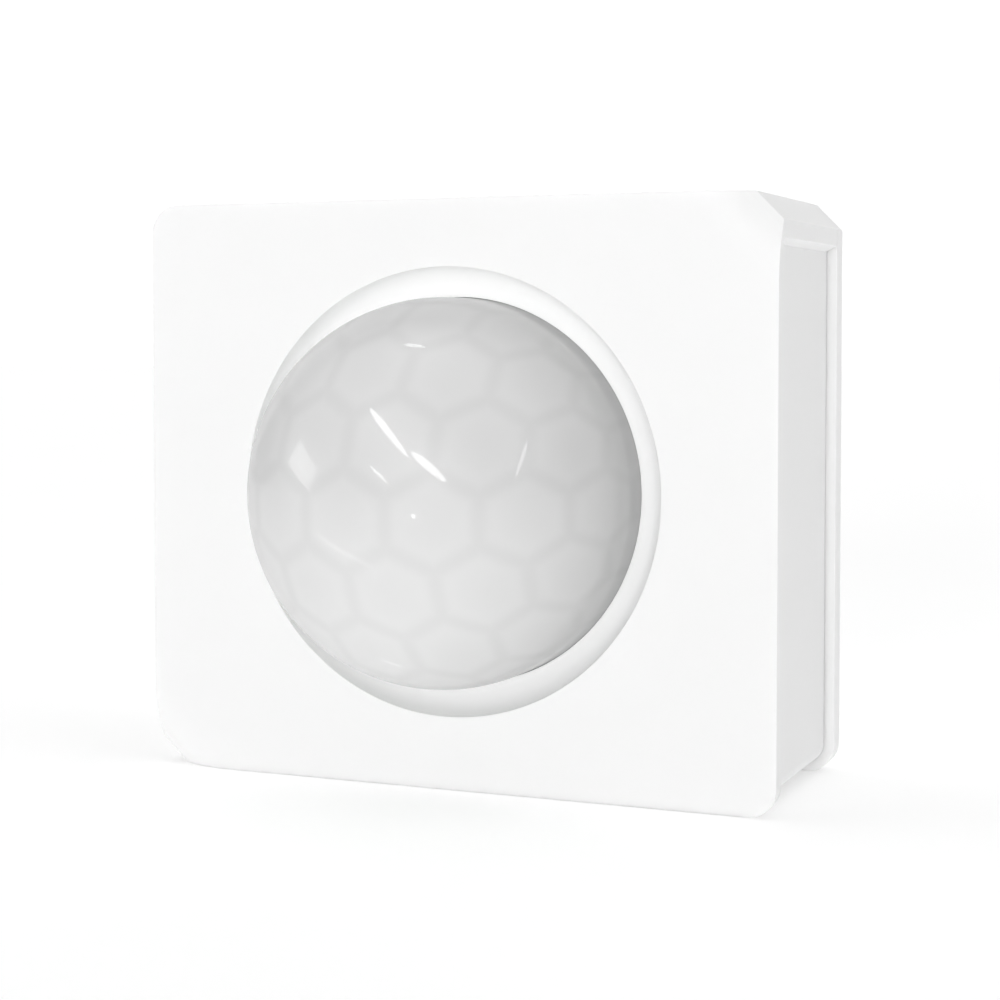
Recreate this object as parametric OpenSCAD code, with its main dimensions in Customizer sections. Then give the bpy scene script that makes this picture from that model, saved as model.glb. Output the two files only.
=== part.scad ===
// Small battery motion sensor: a moulded case with a honeycomb dome lens, on a slide-on wall plate.
// +X is right as seen from the front, +Z is up, and the front faces -Y.
// The origin is the centre of the wall plate's rear face, so the wall is the plane Y = 0.
// Depths below are measured back from the front face.

/* [Case] */
// Width of the case and of the wall plate
case_w = 45.9; // [45.4:0.1:50]
// Height of the case and of the wall plate
case_h = 40; // [39.5:0.5:46]
// Depth from the front face to the wall
case_d = 17; // [17:0.5:20]
// Radius of the two rounded corners
corner_r = 2; // [1.5:0.1:2.5]
// Leg of the two chamfered corners
chamfer_leg = 1.85; // [1.6:0.05:2]
// Radius of the front's roll along each chamfered corner
roll_r = 4.3; // [4:0.1:4.6]
// How far in from the chamfer the roll starts
roll_reach = 3; // [2.8:0.05:3.1]
// Thickness of the full-width front flange
flange_t = 1.2; // [1:0.1:1.6]
// How far the side walls stand in from the flange
wall_inset = 0.73; // [0.4:0.01:1]
// Thickness of the side walls
wall_t = 1.3; // [1:0.1:1.5]
// Thickness of the front face
front_t = 2.4; // [2.2:0.1:2.6]

/* [Lens] */
// Outer radius of the dome
lens_r = 13.15; // [12.8:0.05:13.2]
// Thickness of the lens
lens_t = 0.6; // [0.5:0.05:0.8]
// How far the dome's centre stands in front of the front face
dome_lift = 0.33; // [0.2:0.01:0.6]
// How far the lens axis lies above the middle of the case
lens_z = 0.2; // [0:0.05:0.4]
// Radius of the hole that the lens comes through
lens_hole_r = 13.2; // [13.2:0.05:13.4]
// Radius of the cove around the lens
cove_r = 2.02; // [1.6:0.02:2.04]
// Outer radius of the lens flange
lens_flange_r = 15; // [14.6:0.1:15]

/* [Wall plate] */
// Thickness of the wall plate
plate_t = 1.6; // [1.4:0.1:1.6]
// Distance between the two wall screws
wall_screw_spacing = 24; // [22:1:28]
// Radius of the wall screw holes
wall_screw_r = 1.75; // [1.5:0.05:2]

/* [Power] */
// Radius of the coin cell
cell_r = 12.25; // [12:0.05:12.25]
// Thickness of the coin cell
cell_t = 5; // [4.5:0.1:5]
// How far the cell stands to the right of centre
cell_x = 2.2; // [2:0.1:2.3]
// Radius of the battery door
door_r = 12.87; // [12.8:0.01:12.9]

/* [Hidden] */
$fn = 96;
past = 0.5;                     // how far a cut runs past the face it opens
gap = 0.1;                      // clearance between pieces that slide or are fitted by hand

// Depths of the case
plate_front = case_d - plate_t;
rim_d = plate_front - gap;
tab_reach = 3;                  // corner tab: how far its outer faces run from the corner
tab_slope = 0.4;                // corner tab: how much further its foot runs along the recessed wall
cavity_w = case_w - 2 * (wall_inset + wall_t);
cavity_h = case_h - 2 * (wall_inset + wall_t);
cavity_r = 0.8;

// Depths of the lens clamp
gasket_t = 0.3;
gasket_inner_r = lens_hole_r + 0.4;
lens_flange_t = 0.6;
lens_flange_front = front_t + gasket_t;
lens_flange_rear = lens_flange_front + lens_flange_t;
retainer_t = 1.2;
retainer_rear = lens_flange_rear + retainer_t;
retainer_r = lens_flange_r + 0.3;
lug_r = 1.7;
lug_pitch_r = 17.7;             // distance of the clamp screws from the lens axis
lug_angle = 25;                 // their angle above and below the horizontal
clamp_screw_r = 0.5;
clamp_head_r = 1.25;
clamp_head_t = 0.8;
clamp_shank_len = 2.8;
thread_play = 0.02;             // how much thinner a screw's shank is drawn than its hole

// Circuit board
board_front = 6.5;
board_t = 1;
board_rear = board_front + board_t;
board_w = cavity_w - 1.5;
board_h = cavity_h - 1.5;
post_x = 15.2;                  // tray screw posts, from the centre
post_z = 14.2;
post_r = 2.2;
post_shoulder_r = 3.2;
tray_screw_r = 0.8;
tray_head_r = 1.7;
tray_head_t = 0.7;
tray_shank_len = 5;
counterbore_r = 1.9;
counterbore_t = 0.8;

// Detector
pir_top = 1.9;
pir_can_r = 4.1;
pir_can_t = 0.2;
pir_header_r = 4.5;
pir_header_front = 5.7;
pir_header_t = 0.4;
pir_lead_r = 0.23;
pir_lead_pitch_r = 2.54;
pir_window_w = 4.2;
pir_window_h = 3.2;

// Rear tray and battery compartment
tray_front = 12.1;
tray_rear = 13.6;
cell_front = 8.1;
cell_rear = cell_front + cell_t;
door_front = cell_rear + gap;
door_rear = 14.9;
door_hole_r = door_r + 0.08;
boss_r = 14;
bayonet_r = door_hole_r + 0.45; // groove that the door's lugs turn in
bayonet_rear = 13.9;
lug_sweep = 24;                 // angle that each door lug spans
lug_turn = 30;                  // how far the door turns between locked and open
lug_play = 1;                   // angle by which a groove is longer than a lug and its turn
seal_front = 14.1;
seal_rear = 14.6;
seal_inner_r = 12.2;
coin_slot_w = 1.8;
coin_slot_l = 13;
coin_slot_d = 0.9;

// Set-up button and tamper plunger
switch_x = -14.4;
pair_z = 6;
tamper_z = -6;
switch_w = 4.4;
switch_rear = 9.4;
stem_rear = 10.3;
stem_front = 8.95;
stem_r = 1;
button_r = 1.9;
plunger_r = 1.2;
shaft_gap = 0.08;               // radial clearance of the button and the plunger in the tray
collar_front = 11.4;            // collars behind the tray keep the button and the plunger in it
collar_rear = tray_front - gap;

// Rails on the tray and hooks on the wall plate
hook_x = 16.5;                  // inner face of a hook
hook_leg_w = 0.9;
hook_foot_w = 2.3;
hook_foot_front = 13.75;
hook_foot_rear = 14.4;
hook_len = 7;
hook_tops = [12, -6];
rail_flange_x = 17.7;
rail_stem_x = 19.1;
rail_outer_x = 19.9;
rail_flange_front = 14.5;
rail_rear = 15.2;
stop_len = 1.2;

// ---- Helpers ----

// A flat shape in X and Z, from one depth to a greater one
module slab(front, rear) {
    translate([0, rear - case_d, 0]) rotate([90, 0, 0]) linear_extrude(rear - front) children();
}

// A profile turned about the lens axis: X is the radius, Y is the distance in front of the front face
module turned() {
    translate([0, -case_d, lens_z]) rotate([90, 0, 0]) rotate_extrude() children();
}

// A round bar along the depth, about the line through x and z
module rod(x, z, r, front, rear) {
    slab(front, rear) translate([x, z]) circle(r);
}

module ring(x, z, outer, inner, front, rear) {
    slab(front, rear) translate([x, z]) difference() {
        circle(outer);
        circle(inner);
    }
}

// A rectangular block centred on x and z
module block(x, z, w, h, front, rear) {
    slab(front, rear) translate([x, z]) square([w, h], center = true);
}

// A flat bent strip: the profile is in X and depth, and the strip is w wide along Z
module strip(x, z, w) {
    translate([x, -case_d, z - w / 2]) linear_extrude(w) children();
}

// The waste outside a rounded corner whose tip is the origin, with the shape lying towards +X and -Y
module round_corner_waste(r) {
    difference() {
        translate([-past, -r]) square([r + past, r + past]);
        translate([r, -r]) circle(r);
    }
}

// The waste outside a chamfered corner whose tip is the origin, with the shape lying towards -X and -Y
module chamfer_waste(leg) {
    polygon([[-leg, 0], [0, -leg], [past, -leg], [past, past], [-leg, past]]);
}

// The case's outline, moved in by inset: upper left and lower right corners round, the others chamfered
module outline(inset) {
    half_w = case_w / 2 - inset;
    half_h = case_h / 2 - inset;
    difference() {
        square([2 * half_w, 2 * half_h], center = true);
        for (turn = [0, 180]) rotate(turn) {
            translate([-half_w, half_h]) round_corner_waste(corner_r - inset);
            translate([half_w, half_h]) chamfer_waste(chamfer_leg);
        }
    }
}

// The solid tabs that carry the chamfered corners back to the wall plate
module corner_tabs() {
    foot = tab_reach + tab_slope;
    for (turn = [0, 180]) rotate(turn) translate([case_w / 2, case_h / 2]) polygon([
        [0, -tab_reach], [0, -chamfer_leg], [-chamfer_leg, 0], [-tab_reach, 0],
        [-foot, -wall_inset], [-foot, -foot], [-wall_inset, -foot]
    ]);
}

// The inside of the case, moved in by a clearance
module cavity_outline(inset = 0) {
    half_w = cavity_w / 2 - inset;
    half_h = cavity_h / 2 - inset;
    difference() {
        square([2 * half_w, 2 * half_h], center = true);
        for (turn = [0, 180]) rotate(turn) {
            translate([-half_w, half_h]) round_corner_waste(cavity_r);
            mirror([1, 0]) translate([-half_w, half_h]) round_corner_waste(cavity_r);
        }
    }
}

// The waste in front of the roll along each chamfered corner
module corner_roll_waste() {
    roll_len = 16;
    margin = 2;
    middle = chamfer_leg / 2;
    for (turn = [0, 180]) rotate([0, turn, 0])
        translate([case_w / 2 - middle, -case_d, case_h / 2 - middle]) rotate([0, -45, 0]) difference() {
            translate([-roll_reach, -past, -roll_len / 2]) cube([roll_reach + margin, roll_r + past, roll_len]);
            translate([-roll_reach, roll_r, 0]) cylinder(r = roll_r, h = roll_len + 1, center = true);
        }
}

// The four tray screw posts stand at these places, and so do the screws
module at_posts() {
    for (x = [-post_x, post_x]) for (z = [-post_z, post_z]) translate([x, 0, z]) children();
}

// The four lens clamp screws
module at_lugs() {
    for (side = [0, 180]) for (a = [-lug_angle, lug_angle])
        translate([lug_pitch_r * cos(side + a), 0, lens_z + lug_pitch_r * sin(side + a)]) children();
}

// A pan head screw with a cross recess, its head's top at the given depth
module pan_screw(head_r, head_t, shank_r, shank_len, top) {
    slot_w = head_r * 0.35;
    slot_l = head_r * 1.3;
    slot_front = top - head_t * 0.6;
    difference() {
        union() {
            rod(0, 0, head_r, top - head_t, top);
            rod(0, 0, shank_r, top - head_t - shank_len, top - head_t);
        }
        block(0, 0, slot_w, slot_l, slot_front, top + past);
        block(0, 0, slot_l, slot_w, slot_front, top + past);
    }
}

// ---- Case front ----

module front_shell() {
    pilot_front = front_t - 1;
    color("white") difference() {
        union() {
            difference() {
                union() {
                    slab(0, flange_t) outline(0);
                    slab(flange_t / 2, rim_d) {
                        outline(wall_inset);
                        corner_tabs();
                    }
                }
                slab(front_t, rim_d + past) cavity_outline();
                corner_roll_waste();
                // the hooks leave through the bottom wall
                for (x = [-1, 1]) block(
                    x * (hook_x + hook_foot_w / 2), -cavity_h / 2 - wall_t / 2,
                    hook_foot_w + 6 * gap, wall_t + 2 * past, tray_rear, rim_d + past
                );
            }
            at_posts() {
                rod(0, 0, post_shoulder_r, front_t - past, board_front);
                rod(0, 0, post_r, board_front - past, tray_front);
            }
            at_lugs() rod(0, 0, lug_r, front_t - past, lens_flange_rear);
        }
        rod(0, lens_z, lens_hole_r, -past, front_t + past);
        turned() translate([lens_hole_r, 0]) circle(cove_r);
        at_posts() rod(0, 0, tray_screw_r, board_rear, tray_front + past);
        at_lugs() rod(0, 0, clamp_screw_r, pilot_front, lens_flange_rear + past);
    }
}

// ---- Lens ----

// Half of a round bulb on a straight skirt
module bulb_profile(r, bottom) {
    translate([0, dome_lift]) intersection() {
        circle(r);
        square(r);
    }
    translate([0, bottom]) square([r, dome_lift - bottom]);
}

module dome_lens() {
    color("gainsboro") turned() difference() {
        union() {
            bulb_profile(lens_r, -lens_flange_rear);
            translate([0, -lens_flange_rear]) square([lens_flange_r, lens_flange_t]);
        }
        bulb_profile(lens_r - lens_t, -lens_flange_rear - past);
    }
}

module lens_gasket() {
    color("dimgray") ring(0, lens_z, lens_flange_r, gasket_inner_r, front_t, lens_flange_front);
}

module lens_retainer() {
    arm_inner = lens_flange_r - 1;
    arm_len = lug_pitch_r - arm_inner;
    color("whitesmoke") difference() {
        union() {
            rod(0, lens_z, retainer_r, lens_flange_rear, retainer_rear);
            at_lugs() rod(0, 0, lug_r, lens_flange_rear, retainer_rear);
            // an arm joins each lug to the ring
            for (side = [0, 180]) for (a = [-lug_angle, lug_angle]) slab(lens_flange_rear, retainer_rear)
                translate([0, lens_z]) rotate(side + a)
                translate([arm_inner, -lug_r]) square([arm_len, 2 * lug_r]);
        }
        rod(0, lens_z, lens_r - lens_t, lens_flange_rear - past, retainer_rear + past);
        at_lugs() rod(0, 0, clamp_screw_r + gap, lens_flange_rear - past, retainer_rear + past);
    }
}

module retainer_screws() {
    shank_r = clamp_screw_r - thread_play;
    color("silver") at_lugs()
        pan_screw(clamp_head_r, clamp_head_t, shank_r, clamp_shank_len, retainer_rear + clamp_head_t);
}

// ---- Circuit board and detector ----

module at_pir_leads() {
    for (a = [45, 135, 270]) translate([0, 0, lens_z]) rotate([0, a, 0])
        translate([pir_lead_pitch_r, 0, 0]) children();
}

module main_board() {
    color("darkgreen") difference() {
        block(0, 0, board_w, board_h, board_front, board_rear);
        at_posts() rod(0, 0, post_r + 2 * gap, board_front - past, board_rear + past);
        at_pir_leads() rod(0, 0, pir_lead_r + gap, board_front - past, board_rear + past);
    }
}

module pir_can() {
    color("silver") difference() {
        rod(0, lens_z, pir_can_r, pir_top, pir_header_front);
        rod(0, lens_z, pir_can_r - pir_can_t, pir_top + pir_can_t, pir_header_front + past);
        block(0, lens_z, pir_window_w, pir_window_h, pir_top - past, pir_header_front);
    }
}

module pir_window() {
    rim = 0.5;
    window_t = 0.5;
    window_front = pir_top + pir_can_t;
    color("slategray")
        block(0, lens_z, pir_window_w + rim, pir_window_h + rim, window_front, window_front + window_t);
}

module pir_element() {
    w = 5;
    h = 4;
    wall = 0.7;
    plate_depth = 0.5;
    element_front = 4;
    color("tan") difference() {
        block(0, lens_z, w, h, element_front, pir_header_front - pir_can_t);
        block(0, lens_z, w - 2 * wall, h - 2 * wall, element_front + plate_depth, pir_header_front);
    }
}

module pir_header() {
    pedestal_r = pir_can_r - 2 * pir_can_t;
    color("silver") difference() {
        union() {
            rod(0, lens_z, pir_header_r, pir_header_front, pir_header_front + pir_header_t);
            rod(0, lens_z, pedestal_r, pir_header_front - pir_can_t, pir_header_front + pir_header_t / 2);
        }
        at_pir_leads() rod(0, 0, pir_lead_r + gap / 4, pir_header_front - 1, pir_header_front + 1);
    }
}

module pir_spacer() {
    color("ivory") difference() {
        rod(0, lens_z, pir_header_r - gap, pir_header_front + pir_header_t, board_front);
        at_pir_leads() rod(0, 0, pir_lead_r + gap, pir_header_front, board_front + past);
    }
}

module pir_leads() {
    stub = 0.25;
    color("gold") at_pir_leads()
        rod(0, 0, pir_lead_r, pir_header_front - pir_can_t, board_rear + stub);
}

module status_led() {
    x = 7.2;
    z = -7.2;
    base_front = board_front - 0.4;
    lens_top = board_front - 1;
    lens_radius = 0.75;
    color("lightyellow") {
        block(x, z, 3.2, 1.6, base_front, board_front);
        rod(x, z, lens_radius, lens_top, base_front);
    }
}

module microcontroller() {
    x = 10.6;
    side = 5;
    top = board_front - 0.9;
    mark_inset = 0.7;
    mark_r = 0.25;
    mark_t = 0.1;
    corner = side / 2 - mark_inset;
    color("black") difference() {
        block(x, 0, side, side, top, board_front);
        rod(x - corner, corner, mark_r, top - mark_t, top + mark_t);
    }
}

module radio_shield() {
    x = -12.4;
    w = 11;
    h = 9;
    sheet_t = 0.2;
    top = board_front - 1.6;
    color("silver") difference() {
        block(x, 0, w, h, top, board_front);
        block(x, 0, w - 2 * sheet_t, h - 2 * sheet_t, top + sheet_t, board_front + past);
    }
}

module crystal() {
    x = 10.6;
    z = 5;
    w = 3.2;
    h = 2.5;
    step = 0.4;
    base_front = board_front - 0.5;
    lid_front = board_front - 0.8;
    color("silver") {
        block(x, z, w, h, base_front, board_front);
        block(x, z, w - step, h - step, lid_front, base_front);
    }
}

module chip_antenna() {
    thickness = 1.2;
    color("lightgray") block(18.4, 0, 2, 8, board_front - thickness, board_front);
}

module chip_capacitors() {
    pitch = 3;
    thickness = 0.8;
    color("burlywood") for (i = [-2:2])
        block(pitch * i, -11.5, 1.6, 0.8, board_front - thickness, board_front);
}

module chip_resistors() {
    pitch = 2.5;
    thickness = 0.35;
    color("black") for (i = [-3:3])
        block(pitch * i, 11.5, 1, 0.5, board_front - thickness, board_front);
}

// ---- Power ----

module battery_holder() {
    recess_rear = 7.8;
    wall_rear = tray_front - gap;
    inner_r = cell_r + 2 * gap;
    wall = 0.75;
    left = cell_x - cell_r - 0.5;
    color("dimgray") difference() {
        rod(cell_x, 0, inner_r + wall, board_rear, wall_rear);
        rod(cell_x, 0, inner_r, cell_front - gap / 2, wall_rear + past);
        // room under the floor for the detector's leads, then the windows for the two contacts
        rod(0, lens_z, pir_header_r, board_rear - past, recess_rear);
        block(8.7, 0, 8, 5, board_rear - past, cell_rear);
        block(left, 0, 3.4, 7, board_rear - past, wall_rear + past);
    }
}

// The strip presses on the cell's rim, on the left
module positive_contact() {
    t = 0.2;
    w = 6;
    foot_l = 2.6;
    tip = cell_rear - 1;
    upright = cell_x - cell_r - 2 * gap;
    color("gold") strip(upright, 0, w) polygon([
        [-foot_l, board_rear], [0, board_rear], [0, tip], [-t, tip],
        [-t, board_rear + t], [-foot_l, board_rear + t]
    ]);
}

// The leaf rises from the board to the cell's front face
module negative_contact() {
    t = 0.2;
    w = 4;
    x = 5.2;
    foot_l = 2;
    ramp_l = 5.5;
    tip_l = 7;
    rise = cell_front - board_rear - t;
    lead = t / 2;
    color("gold") strip(x, 0, w) polygon([
        [0, board_rear], [foot_l, board_rear], [ramp_l, board_rear + rise], [tip_l, board_rear + rise],
        [tip_l, board_rear + rise + lead], [ramp_l - lead, board_rear + rise + lead],
        [foot_l - lead, board_rear + t], [0, board_rear + t]
    ]);
}

module coin_cell() {
    cap_r = cell_r - 1.6;
    cap_t = 0.25;
    color("lightsteelblue") {
        rod(cell_x, 0, cell_r, cell_front + cap_t, cell_rear);
        rod(cell_x, 0, cap_r, cell_front, cell_front + cap_t);
    }
}

// ---- Rear tray ----

// A wedge of a ring about the door's axis, centred on an angle
module sector(angle, sweep, outer, inner, front, rear) {
    slab(front, rear) translate([cell_x, 0]) rotate(angle - sweep / 2) intersection() {
        difference() {
            circle(outer);
            circle(inner);
        }
        polygon([[0, 0], [2 * outer, 0], [2 * outer * cos(sweep), 2 * outer * sin(sweep)]]);
    }
}

module rear_tray() {
    entry = lug_sweep + lug_play;
    swept = entry + lug_turn;
    groove_inner_r = door_hole_r - past;
    color("whitesmoke") difference() {
        union() {
            slab(tray_front, tray_rear) cavity_outline(1.5 * gap);
            rod(cell_x, 0, boss_r, tray_front, door_rear);
            for (side = [0, 1]) mirror([side, 0, 0]) rail();
        }
        rod(cell_x, 0, door_hole_r, tray_front - past, door_rear + past);
        // the groove that each lug of the door turns in, and the way into it from behind
        for (a = [0, 120, 240]) {
            sector(a - lug_turn / 2, swept, bayonet_r, groove_inner_r, door_front - gap, bayonet_rear);
            sector(a - lug_turn, entry, bayonet_r, groove_inner_r, door_front, door_rear + past);
        }
        at_posts() {
            rod(0, 0, tray_screw_r + 2 * gap, tray_front - past, tray_rear + past);
            rod(0, 0, counterbore_r, tray_rear - counterbore_t, tray_rear + past);
        }
        rod(switch_x, pair_z, button_r + shaft_gap, tray_front - past, tray_rear + past);
        rod(switch_x, tamper_z, plunger_r + shaft_gap, tray_front - past, tray_rear + past);
    }
}

// The right rail: a stem, a flange that the hooks pass behind, and a stop above the upper hook
module rail() {
    bottom = -cavity_h / 2 + 2 * gap;
    top = hook_tops[0] + gap + stop_len;
    mid_z = (top + bottom) / 2;
    len = top - bottom;
    stem_w = rail_outer_x - rail_stem_x;
    flange_w = rail_outer_x - rail_flange_x;
    stem_x = rail_outer_x - stem_w / 2;
    flange_x = rail_outer_x - flange_w / 2;
    block(stem_x, mid_z, stem_w, len, tray_rear - past, rail_rear);
    block(flange_x, mid_z, flange_w, len, rail_flange_front, rail_rear);
    block(flange_x, top - stop_len / 2, flange_w, stop_len, tray_rear - past, rail_rear);
}

module tray_screws() {
    shank_r = tray_screw_r - thread_play;
    color("silver") at_posts()
        pan_screw(tray_head_r, tray_head_t, shank_r, tray_shank_len, tray_rear - gap);
}

module battery_door() {
    color("whitesmoke") difference() {
        union() {
            rod(cell_x, 0, door_r, door_front, door_rear);
            for (a = [0, 120, 240]) sector(
                a, lug_sweep, bayonet_r - gap, door_r - past, door_front, bayonet_rear - gap
            );
        }
        ring(cell_x, 0, door_r + past, seal_inner_r, seal_front, seal_rear);
        block(cell_x, 0, coin_slot_l, coin_slot_w, door_rear - coin_slot_d, door_rear + past);
    }
}

module door_seal() {
    slack = 0.03;
    outer = door_hole_r - slack;
    inner = seal_inner_r + slack;
    color("dimgray") ring(cell_x, 0, outer, inner, seal_front + slack, seal_rear - slack);
}

// ---- Switches ----

module switch_body(z) {
    bore_front = 8.2;
    difference() {
        block(switch_x, z, switch_w, switch_w, board_rear, switch_rear);
        rod(switch_x, z, stem_r + shaft_gap, bore_front, switch_rear + past);
    }
}

module pair_switch() {
    color("black") switch_body(pair_z);
}

module tamper_switch() {
    color("black") switch_body(tamper_z);
}

module pair_switch_stem() {
    color("white") rod(switch_x, pair_z, stem_r, stem_front, stem_rear);
}

module tamper_switch_stem() {
    color("white") rod(switch_x, tamper_z, stem_r, stem_front, stem_rear);
}

module pair_button() {
    foot_r = stem_r + 0.4;
    collar_r = button_r + 0.7;
    color("lightgray") {
        rod(switch_x, pair_z, foot_r, stem_rear, collar_front);
        rod(switch_x, pair_z, collar_r, collar_front, collar_rear);
        rod(switch_x, pair_z, button_r, collar_rear, tray_rear - gap);
    }
}

module tamper_plunger() {
    collar_r = plunger_r + 1;
    color("lightgray") {
        rod(switch_x, tamper_z, plunger_r, stem_rear, plate_front - gap / 2);
        rod(switch_x, tamper_z, collar_r, collar_front, collar_rear);
    }
}

// ---- Wall plate ----

module wall_plate() {
    sink_t = 0.9;
    color("white") {
        difference() {
            slab(plate_front, case_d) outline(0);
            for (x = [-1, 1]) translate([x * wall_screw_spacing / 2, 0, 0]) {
                rod(0, 0, wall_screw_r, plate_front - past, case_d + past);
                translate([0, plate_front - case_d, 0]) rotate([-90, 0, 0])
                    cylinder(r1 = wall_screw_r + sink_t, r2 = wall_screw_r, h = sink_t);
            }
        }
        for (side = [0, 1]) mirror([side, 0, 0]) for (top = hook_tops) hook(top);
    }
}

// A right hook: a leg that stands forward of the plate, and a foot that turns outwards behind the rail
module hook(top) {
    mid_z = top - hook_len / 2;
    block(hook_x + hook_leg_w / 2, mid_z, hook_leg_w, hook_len, hook_foot_front, plate_front + past);
    block(hook_x + hook_foot_w / 2, mid_z, hook_foot_w, hook_len, hook_foot_front, hook_foot_rear);
}

front_shell();
dome_lens();
lens_gasket();
lens_retainer();
retainer_screws();
main_board();
pir_can();
pir_window();
pir_element();
pir_header();
pir_spacer();
pir_leads();
status_led();
microcontroller();
radio_shield();
crystal();
chip_antenna();
chip_capacitors();
chip_resistors();
battery_holder();
positive_contact();
negative_contact();
coin_cell();
rear_tray();
tray_screws();
battery_door();
door_seal();
pair_switch();
pair_switch_stem();
pair_button();
tamper_switch();
tamper_switch_stem();
tamper_plunger();
wall_plate();
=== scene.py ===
"""The looks of a small white motion sensor with a honeycomb dome lens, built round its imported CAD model.

Lengths are in metres unless a comment says otherwise. The front faces -Y, +X is right as seen from
the front, and the wall is the plane Y = 0.
"""

import math

import bmesh
import bpy
import numpy as np
from mathutils import Matrix, Vector


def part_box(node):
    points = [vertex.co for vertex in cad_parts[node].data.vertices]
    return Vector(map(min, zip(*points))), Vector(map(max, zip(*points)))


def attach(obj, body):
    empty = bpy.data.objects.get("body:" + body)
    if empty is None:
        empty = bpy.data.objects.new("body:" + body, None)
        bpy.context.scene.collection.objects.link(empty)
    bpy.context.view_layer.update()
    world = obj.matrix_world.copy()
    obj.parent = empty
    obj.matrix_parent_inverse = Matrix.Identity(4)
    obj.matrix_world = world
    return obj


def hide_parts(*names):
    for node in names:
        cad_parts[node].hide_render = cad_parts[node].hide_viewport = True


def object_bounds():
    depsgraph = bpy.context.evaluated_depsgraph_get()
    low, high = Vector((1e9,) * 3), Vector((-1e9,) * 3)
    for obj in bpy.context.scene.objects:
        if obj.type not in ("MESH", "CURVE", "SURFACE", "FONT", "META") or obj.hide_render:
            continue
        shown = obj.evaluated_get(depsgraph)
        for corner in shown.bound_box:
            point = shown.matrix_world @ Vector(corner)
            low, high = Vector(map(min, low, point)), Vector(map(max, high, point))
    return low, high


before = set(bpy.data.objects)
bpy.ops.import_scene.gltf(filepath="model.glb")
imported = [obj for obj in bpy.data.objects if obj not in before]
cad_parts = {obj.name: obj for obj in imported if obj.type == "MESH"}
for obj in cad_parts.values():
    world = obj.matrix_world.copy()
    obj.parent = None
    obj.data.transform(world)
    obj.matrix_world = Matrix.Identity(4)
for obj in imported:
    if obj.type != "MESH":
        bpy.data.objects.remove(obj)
cad_low, cad_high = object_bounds()

MM = 0.001

# The material slot that each CAD node was packed with
SLOTS = {name: node.data.materials[0].name.split(".")[0] for name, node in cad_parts.items()}
for material in list(bpy.data.materials):
    material.name = "packed_" + material.name


# ---- Camera, floor and light ----

CAMERA_PLACE = (57.0238 * MM, -143.2959 * MM, 10.7141 * MM)
CAMERA_AZIMUTH = 22.7974        # degrees that the camera stands round to the right
CAMERA_PITCH = 2.3230           # degrees that it looks down
CAMERA_SENSOR = 36              # width in mm
CAMERA_LENS = 74.156            # focal length in mm
CAMERA_SHIFT = -0.08


def make_camera():
    """The camera, a little above the middle and to the right of the front."""
    data = bpy.data.cameras.new("camera")
    data.sensor_width = CAMERA_SENSOR
    data.lens = CAMERA_LENS
    data.shift_y = CAMERA_SHIFT
    data.clip_start = 0.005
    data.clip_end = 50
    camera = bpy.data.objects.new("camera", data)
    camera.location = CAMERA_PLACE
    camera.rotation_euler = (math.radians(90 - CAMERA_PITCH), 0, math.radians(CAMERA_AZIMUTH))
    bpy.context.scene.collection.objects.link(camera)
    bpy.context.scene.camera = camera


FLOOR_R = 2.0
FLOOR_SIDES = 96
FLOOR_GLOW = 0.22               # the light that reaches the floor evenly from all round


def make_floor():
    """A round white floor that the case stands on."""
    turns = [2 * math.pi * i / FLOOR_SIDES for i in range(FLOOR_SIDES)]
    points = [(FLOOR_R * math.cos(a), FLOOR_R * math.sin(a), cad_low.z) for a in turns]
    mesh = bpy.data.meshes.new("floor")
    mesh.from_pydata(points, [], [list(range(FLOOR_SIDES))])
    floor = bpy.data.objects.new("floor", mesh)
    bpy.context.scene.collection.objects.link(floor)
    graph = Graph("floor_paper")
    grain = graph.noise(graph.place(), scale=40, detail=2)
    colour = graph.ramp(grain, [(0.3, grey(0.955)), (0.7, grey(0.965))])
    shader = graph.plastic(colour=colour, roughness=0.9, specular=0.1)
    shader.inputs["Emission Color"].default_value = (1, 1, 1, 1)
    shader.inputs["Emission Strength"].default_value = FLOOR_GLOW
    mesh.materials.append(graph.material)


# The studio's soft lights: the way to the middle of each, and its strength
SOFT_LIGHTS = (
    ((-0.7, 0.7, 0.1), 0.65),
    ((0.7, 0.7, 0.1), 0.15),
    ((0.0, 1.0, 0.1), 1.3),     # the white wall behind
    ((0.0, 0.0, 1.0), 1.85),    # overhead
    ((0.0, 0.7, 0.7), 0.2),
    ((-0.7, 0.0, 0.7), 1.0),
    ((0.7, 0.0, 0.7), 1.1),
)
SOFT_POWER = 8.0                # how quickly each light falls off round its middle
SEEN_WHITE = 1.1                # how bright the studio's backdrop looks


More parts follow.
